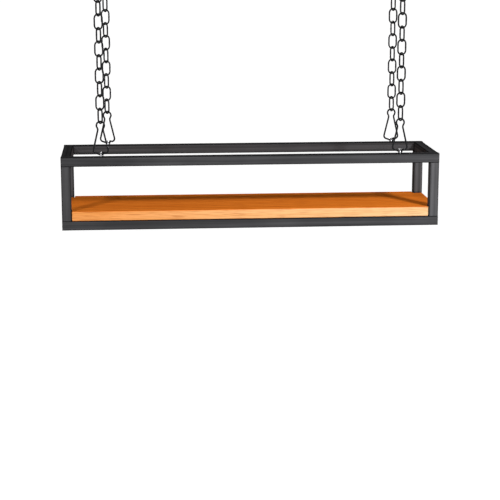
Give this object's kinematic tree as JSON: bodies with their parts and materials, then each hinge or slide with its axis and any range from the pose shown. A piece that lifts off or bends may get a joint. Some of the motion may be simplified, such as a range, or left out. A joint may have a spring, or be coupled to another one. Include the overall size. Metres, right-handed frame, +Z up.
{
  "type": "hanging wine rack",
  "caption": "Long welded steel tube frame with open sides and a wooden shelf board, hung by spring wire clips and chains from ceiling screw hooks.",
  "frame": {"origin": "midway between the studs of the front pair of ceiling hooks, in the plane of the ceiling", "axes": "+X along the rack to the right, +Y from the front row of chains to the back row, +Z up along the hooks' studs"},
  "size_m": [0.8, 0.202, 0.5645],
  "materials": {
    "painted_steel": "charcoal powder coat, satin",
    "black_chain": "black coated wire, satin",
    "shelf_wood": "warm stained and oiled",
    "bright_zinc": "zinc plated"
  },
  "bodies": {
    "ceiling": {"ceiling_hooks": "black_chain"},
    "top_link_front_left": {"chain_top_link_front_left": "black_chain"},
    "chain_front_left": {"chain_links_front_left": "black_chain"},
    "clip_front_left": {"wire_clip_front_left": "black_chain"},
    "top_link_back_left": {"chain_top_link_back_left": "black_chain"},
    "chain_back_left": {"chain_links_back_left": "black_chain"},
    "clip_back_left": {"wire_clip_back_left": "black_chain"},
    "top_link_back_right": {"chain_top_link_back_right": "black_chain"},
    "chain_back_right": {"chain_links_back_right": "black_chain"},
    "clip_back_right": {"wire_clip_back_right": "black_chain"},
    "top_link_front_right": {"chain_top_link_front_right": "black_chain"},
    "chain_front_right": {"chain_links_front_right": "black_chain"},
    "clip_front_right": {"wire_clip_front_right": "black_chain"},
    "rack": {"top_rail_front": "painted_steel", "top_rail_back": "painted_steel", "bottom_rail_front": "painted_steel", "bottom_rail_back": "painted_steel", "top_end_rail_left": "painted_steel", "top_end_rail_right": "painted_steel", "bottom_end_rail_left": "painted_steel", "bottom_end_rail_right": "painted_steel", "upright_front_left": "painted_steel", "upright_front_right": "painted_steel", "upright_back_left": "painted_steel", "upright_back_right": "painted_steel", "rail_end_caps_left": "painted_steel", "rail_end_caps_right": "painted_steel", "shelf_board": "shelf_wood", "shelf_board_screws": "bright_zinc", "hanging_eye_front_left": "bright_zinc", "hanging_eye_back_left": "bright_zinc", "hanging_eye_back_right": "bright_zinc", "hanging_eye_front_right": "bright_zinc"}
  },
  "joints": [
    {"name": "swing_front_back", "type": "hinge", "parent": "ceiling", "child": "top_link_front_left", "pos_m": [-0.316, 0, -0.0292], "axis": [1, 0, 0], "range_deg": [-10, 10]},
    {"name": "swing_side", "type": "hinge", "parent": "top_link_front_left", "child": "chain_front_left", "pos_m": [-0.316, 0, -0.0569], "axis": [0, 1, 0], "range_deg": [-10, 10]},
    {"name": "clip_turn_front_left", "type": "hinge", "parent": "chain_front_left", "child": "clip_front_left", "pos_m": [-0.316, 0, -0.3095], "axis": [0, 1, 0], "range_deg": [-10, 10]},
    {"name": "rack_turn_on_clip", "type": "hinge", "parent": "clip_front_left", "child": "rack", "pos_m": [-0.316, 0, -0.3759], "axis": [1, 0, 0], "range_deg": [-10, 10]},
    {"name": "hook_turn_back_left", "type": "hinge", "parent": "ceiling", "child": "top_link_back_left", "pos_m": [-0.304, 0.18, -0.0292], "axis": [1, 0, 0], "range_deg": [-10, 10]},
    {"name": "chain_turn_back_left", "type": "hinge", "parent": "top_link_back_left", "child": "chain_back_left", "pos_m": [-0.304, 0.18, -0.0569], "axis": [0, 1, 0], "range_deg": [-10, 10]},
    {"name": "clip_turn_back_left", "type": "hinge", "parent": "chain_back_left", "child": "clip_back_left", "pos_m": [-0.304, 0.18, -0.3095], "axis": [0, 1, 0], "range_deg": [-10, 10]},
    {"name": "hook_turn_back_right", "type": "hinge", "parent": "ceiling", "child": "top_link_back_right", "pos_m": [0.328, 0.18, -0.0292], "axis": [1, 0, 0], "range_deg": [-10, 10]},
    {"name": "chain_turn_back_right", "type": "hinge", "parent": "top_link_back_right", "child": "chain_back_right", "pos_m": [0.328, 0.18, -0.0569], "axis": [0, 1, 0], "range_deg": [-10, 10]},
    {"name": "clip_turn_back_right", "type": "hinge", "parent": "chain_back_right", "child": "clip_back_right", "pos_m": [0.328, 0.18, -0.3095], "axis": [0, 1, 0], "range_deg": [-10, 10]},
    {"name": "hook_turn_front_right", "type": "hinge", "parent": "ceiling", "child": "top_link_front_right", "pos_m": [0.316, 0, -0.0292], "axis": [1, 0, 0], "range_deg": [-10, 10]},
    {"name": "chain_turn_front_right", "type": "hinge", "parent": "top_link_front_right", "child": "chain_front_right", "pos_m": [0.316, 0, -0.0569], "axis": [0, 1, 0], "range_deg": [-10, 10]},
    {"name": "clip_turn_front_right", "type": "hinge", "parent": "chain_front_right", "child": "clip_front_right", "pos_m": [0.316, 0, -0.3095], "axis": [0, 1, 0], "range_deg": [-10, 10]}
  ],
  "couplings": [
    {"joint": "clip_turn_front_left", "follows": "swing_side", "ratio": -1},
    {"joint": "rack_turn_on_clip", "follows": "swing_front_back", "ratio": -1},
    {"joint": "hook_turn_back_left", "follows": "swing_front_back", "ratio": 1},
    {"joint": "chain_turn_back_left", "follows": "swing_side", "ratio": 1},
    {"joint": "clip_turn_back_left", "follows": "swing_side", "ratio": -1},
    {"joint": "hook_turn_back_right", "follows": "swing_front_back", "ratio": 1},
    {"joint": "chain_turn_back_right", "follows": "swing_side", "ratio": 1},
    {"joint": "clip_turn_back_right", "follows": "swing_side", "ratio": -1},
    {"joint": "hook_turn_front_right", "follows": "swing_front_back", "ratio": 1},
    {"joint": "chain_turn_front_right", "follows": "swing_side", "ratio": 1},
    {"joint": "clip_turn_front_right", "follows": "swing_side", "ratio": -1}
  ]
}
